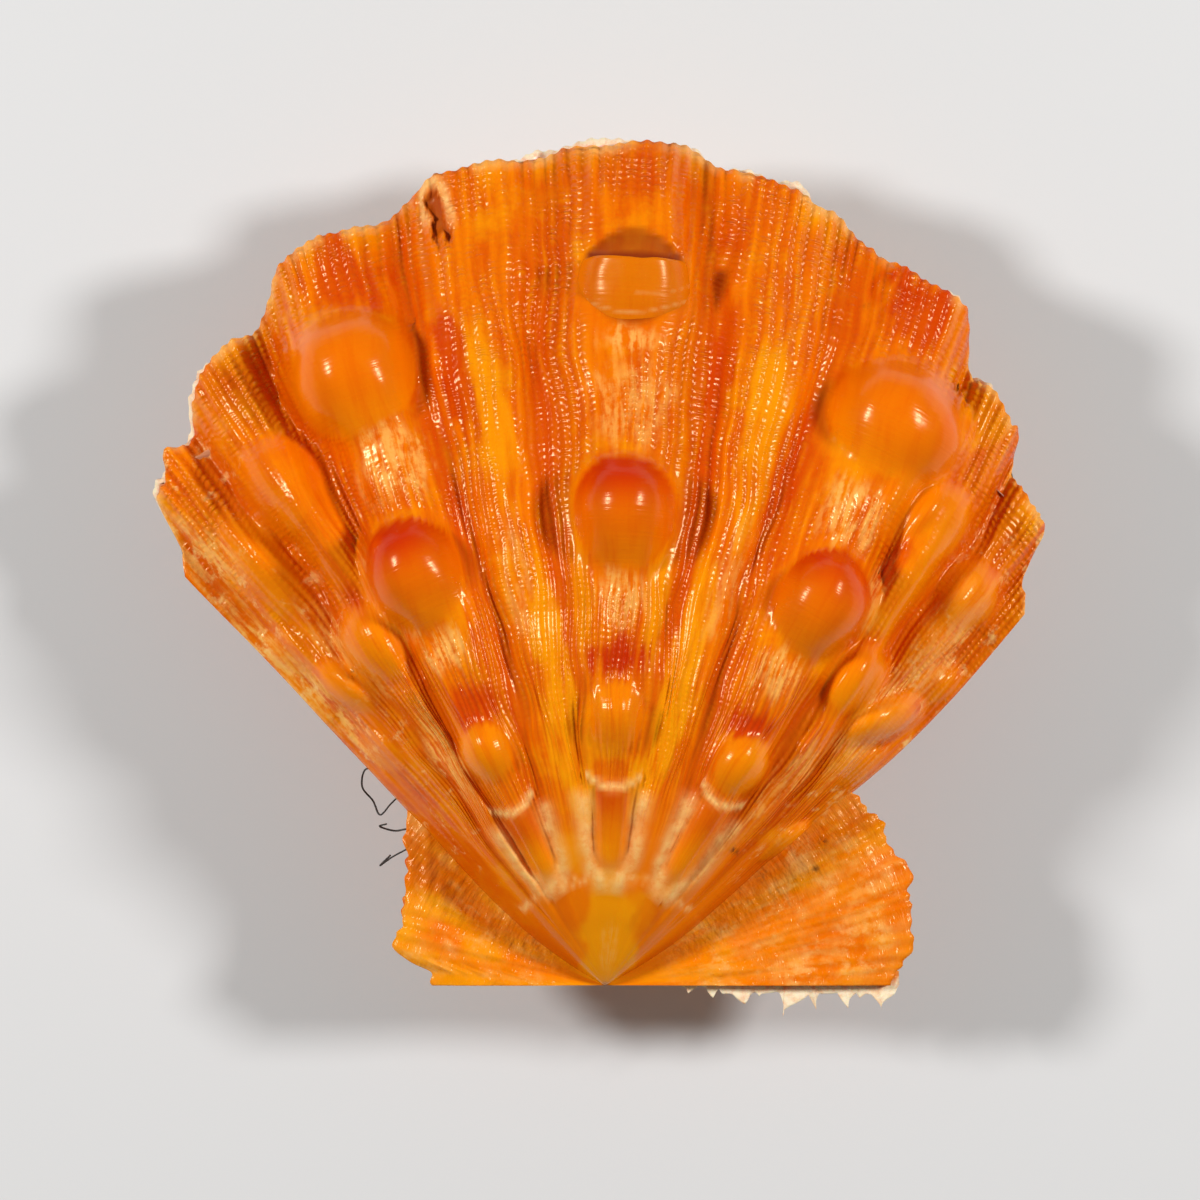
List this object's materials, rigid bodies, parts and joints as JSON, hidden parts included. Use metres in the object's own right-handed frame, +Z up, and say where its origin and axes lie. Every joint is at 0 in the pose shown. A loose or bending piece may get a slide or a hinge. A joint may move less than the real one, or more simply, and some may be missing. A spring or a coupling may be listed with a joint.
{
  "type": "lions paw scallop shell",
  "caption": "Closed scallop shell: two fan-shaped valves with broad radial ribs, hollow knobs and flat ears along a straight hinge.",
  "frame": {"origin": "bottom centre of the bounding box, on the floor that the lower valve rests on", "axes": "+Z up through the upper valve, +Y from the straight hinge to the fan's edge, +X towards the larger ears"},
  "size_m": [0.1006, 0.0986, 0.0381],
  "materials": {
    "upper_valve": "gloss",
    "lower_valve": "gloss"
  },
  "bodies": {
    "root": {"upper_valve": "upper_valve", "lower_valve": "lower_valve"}
  },
  "joints": []
}
